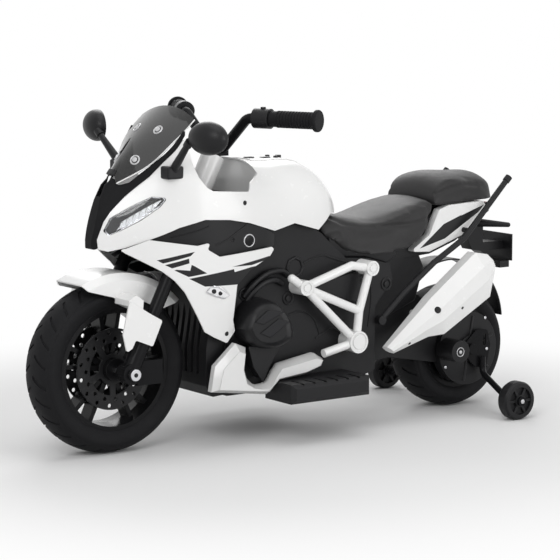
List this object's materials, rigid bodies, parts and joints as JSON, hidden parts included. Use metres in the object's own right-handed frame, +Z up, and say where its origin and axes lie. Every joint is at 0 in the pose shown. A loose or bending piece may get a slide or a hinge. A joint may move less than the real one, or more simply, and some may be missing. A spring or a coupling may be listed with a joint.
{
  "type": "kids electric motorbike",
  "caption": "Battery ride-on motorbike for a child: full fairing with screen, raked fork, padded seats, pedal drive to the rear wheel and side training wheels.",
  "frame": {"origin": "on the ground, centre of the footprint box", "axes": "+X forward, +Y to the rider's left, +Z up"},
  "size_m": [1.135, 0.5006, 0.6519],
  "materials": {
    "white_gloss": "gloss",
    "black_gloss": "gloss",
    "black_matte": "satin",
    "dark_grey": "satin",
    "silver": "metallic",
    "steel": "brushed",
    "black_metal": "satin",
    "tyre": "matte",
    "rubber": "matte",
    "seat": "grained",
    "screen": "smoked",
    "lens": "clear",
    "red_lens": "gloss",
    "chrome": "polished",
    "red_plastic": "gloss"
  },
  "bodies": {
    "frame": {"chassis_left": "black_matte", "chassis_right": "black_matte", "steering_head": "black_matte", "cockpit_tray": "black_matte", "fairing_left": "white_gloss", "fairing_right": "white_gloss", "nose_trim": "black_gloss", "windscreen": "screen", "headlight_lenses": "lens", "headlight_reflectors": "chrome", "side_panels": "dark_grey", "lower_fairings": "white_gloss", "front_indicators": "lens", "radiator_cover": "black_matte", "belly_pans": "white_gloss", "engine_covers": "black_gloss", "trellis_frames": "white_gloss", "footrests": "black_matte", "rider_seat": "seat", "pillion_pad": "seat", "tail_frame": "black_matte", "tail_covers": "white_gloss", "grab_rails": "silver", "tail_light": "red_lens", "plate_hanger": "black_matte", "muffler": "silver", "swing_arm": "black_matte", "gearbox_cover": "black_matte", "drive_motor": "steel", "rear_axle": "steel", "training_arms": "black_metal", "mirror_stalks": "black_matte", "control_panel": "black_gloss", "battery": "dark_grey", "control_module": "dark_grey", "body_screws": "steel"},
    "steering": {"fork": "silver", "fork_sliders": "dark_grey", "front_fender": "white_gloss", "front_axle": "steel", "handlebar": "black_metal", "stem_cover": "white_gloss", "switch_housings": "black_matte", "grips": "rubber"},
    "front_wheel": {"front_tyre": "tyre", "front_rim": "black_matte", "brake_discs": "dark_grey"},
    "rear_wheel": {"rear_tyre": "tyre", "rear_rim": "black_matte"},
    "training_left": {"training_wheel_left": "black_matte"},
    "training_right": {"training_wheel_right": "black_matte"},
    "idler": {"idler_gear": "silver"},
    "pinion": {"motor_pinion": "silver"},
    "pedal": {"accelerator_pedal": "dark_grey"},
    "mirror_l": {"mirror_left": "black_gloss"},
    "mirror_r": {"mirror_right": "black_gloss"},
    "power_switch": {"power_rocker": "red_plastic"},
    "direction_switch": {"direction_rocker": "dark_grey"},
    "sound_switch": {"sound_button": "dark_grey"},
    "horn_switch": {"horn_button": "red_plastic"}
  },
  "joints": [
    {"name": "steer", "type": "hinge", "parent": "frame", "child": "steering", "pos_m": [0.1694, 0, 0.529], "axis": [-0.454, 0, 0.891], "range_deg": [-20, 20]},
    {"name": "front_wheel_spin", "type": "hinge", "parent": "steering", "child": "front_wheel", "pos_m": [0.4055, 0, 0.162], "axis": [0, 1, 0], "continuous": true},
    {"name": "rear_wheel_spin", "type": "hinge", "parent": "frame", "child": "rear_wheel", "pos_m": [-0.427, 0, 0.127], "axis": [0, 1, 0], "continuous": true},
    {"name": "idler_spin", "type": "hinge", "parent": "frame", "child": "idler", "pos_m": [-0.39605, 0.057, 0.15032], "axis": [0, 1, 0], "continuous": true},
    {"name": "pinion_spin", "type": "hinge", "parent": "frame", "child": "pinion", "pos_m": [-0.36996, 0.064, 0.13094], "axis": [0, 1, 0], "continuous": true},
    {"name": "training_left_spin", "type": "hinge", "parent": "frame", "child": "training_left", "pos_m": [-0.435, 0.216, 0.039], "axis": [0, 1, 0], "continuous": true},
    {"name": "training_right_spin", "type": "hinge", "parent": "frame", "child": "training_right", "pos_m": [-0.435, -0.216, 0.039], "axis": [0, 1, 0], "continuous": true},
    {"name": "pedal_press", "type": "hinge", "parent": "frame", "child": "pedal", "pos_m": [-0.044, -0.158, 0.116], "axis": [0, 1, 0], "range_deg": [0, 9], "stiffness_Nm_per_rad": 3, "springref_deg": -2.86},
    {"name": "mirror_left_turn", "type": "hinge", "parent": "frame", "child": "mirror_l", "pos_m": [0.318, 0.152, 0.588], "axis": [0.0878, 0.7528, 0.6524], "range_deg": [-15, 15]},
    {"name": "mirror_right_turn", "type": "hinge", "parent": "frame", "child": "mirror_r", "pos_m": [0.318, -0.152, 0.588], "axis": [0.0878, -0.7528, 0.6524], "range_deg": [-15, 15]},
    {"name": "power_rock", "type": "hinge", "parent": "frame", "child": "power_switch", "pos_m": [0.074, 0, 0.53867], "axis": [0, 1, 0], "range_deg": [-10, 10]},
    {"name": "direction_rock", "type": "hinge", "parent": "frame", "child": "direction_switch", "pos_m": [0.044, 0.012, 0.53781], "axis": [0, 1, 0], "range_deg": [-10, 10]},
    {"name": "sound_press", "type": "slide", "parent": "frame", "child": "sound_switch", "axis": [0, 0, -1], "range_m": [0, 0.0015], "stiffness_N_per_m": 400, "springref_m": -0.001},
    {"name": "horn_press", "type": "slide", "parent": "steering", "child": "horn_switch", "axis": [0, 0, -1], "range_m": [0, 0.0015], "stiffness_N_per_m": 400, "springref_m": -0.001}
  ],
  "couplings": [
    {"joint": "idler_spin", "follows": "rear_wheel_spin", "ratio": -3.4286},
    {"joint": "pinion_spin", "follows": "rear_wheel_spin", "ratio": 11.429}
  ]
}
